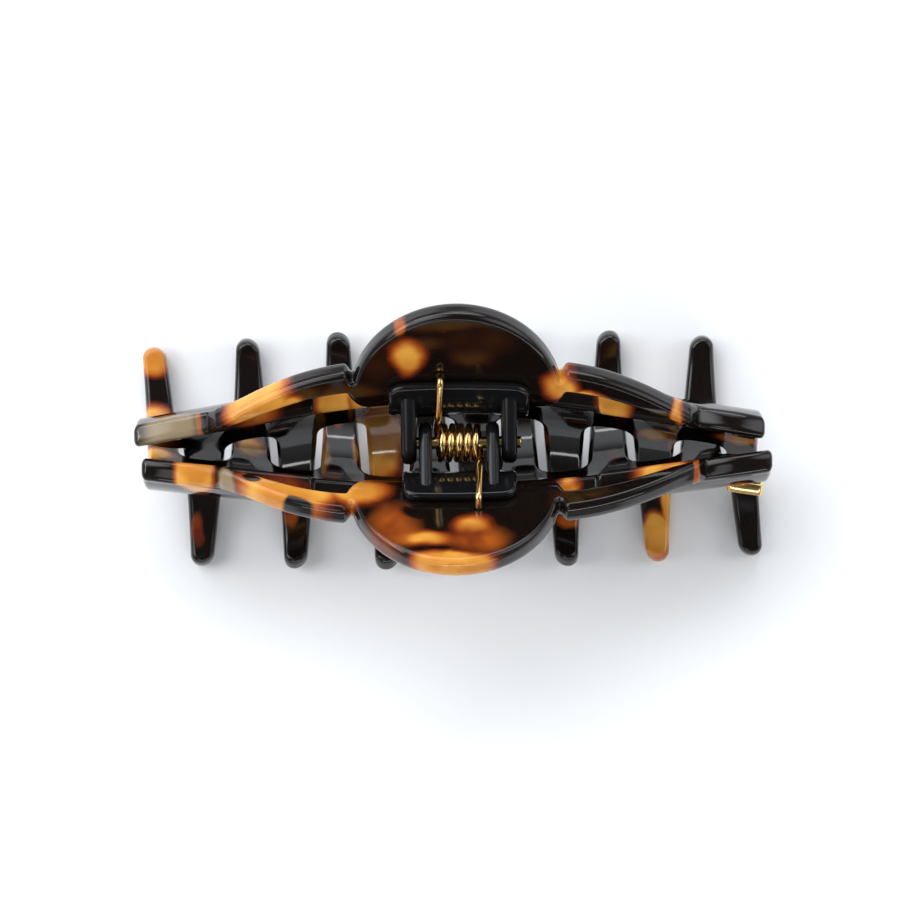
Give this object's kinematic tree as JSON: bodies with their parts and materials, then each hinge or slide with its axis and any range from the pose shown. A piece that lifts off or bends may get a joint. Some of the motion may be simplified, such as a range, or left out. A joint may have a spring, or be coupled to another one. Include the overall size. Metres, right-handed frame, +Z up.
{
  "type": "claw hair clip",
  "caption": "Claw hair clip of bent tortoiseshell acetate with half-round thumb plates, curved teeth, black hinge brackets and a gold coil spring.",
  "frame": {"origin": "middle of the bounding box, at the undersides of the teeth", "axes": "+X along the hinge pin, +Y towards the back jaw's thumb plate, +Z up"},
  "size_m": [0.1, 0.0426, 0.0444],
  "materials": {
    "acetate": "polished tortoiseshell acetate",
    "black_plastic": "glossy black moulding",
    "gold": "polished gold plating"
  },
  "bodies": {
    "front": {"front_jaw": "acetate", "front_bracket": "black_plastic", "hinge_pin": "gold", "spring": "gold"},
    "back": {"back_jaw": "acetate", "back_bracket": "black_plastic", "tooth_band": "gold"}
  },
  "joints": [
    {"name": "hinge", "type": "hinge", "parent": "front", "child": "back", "pos_m": [0, 0, 0.02786], "axis": [1, 0, 0], "range_deg": [0, 60], "stiffness_Nm_per_rad": 0.06, "springref_deg": -68.75, "deforming": ["spring"]}
  ]
}
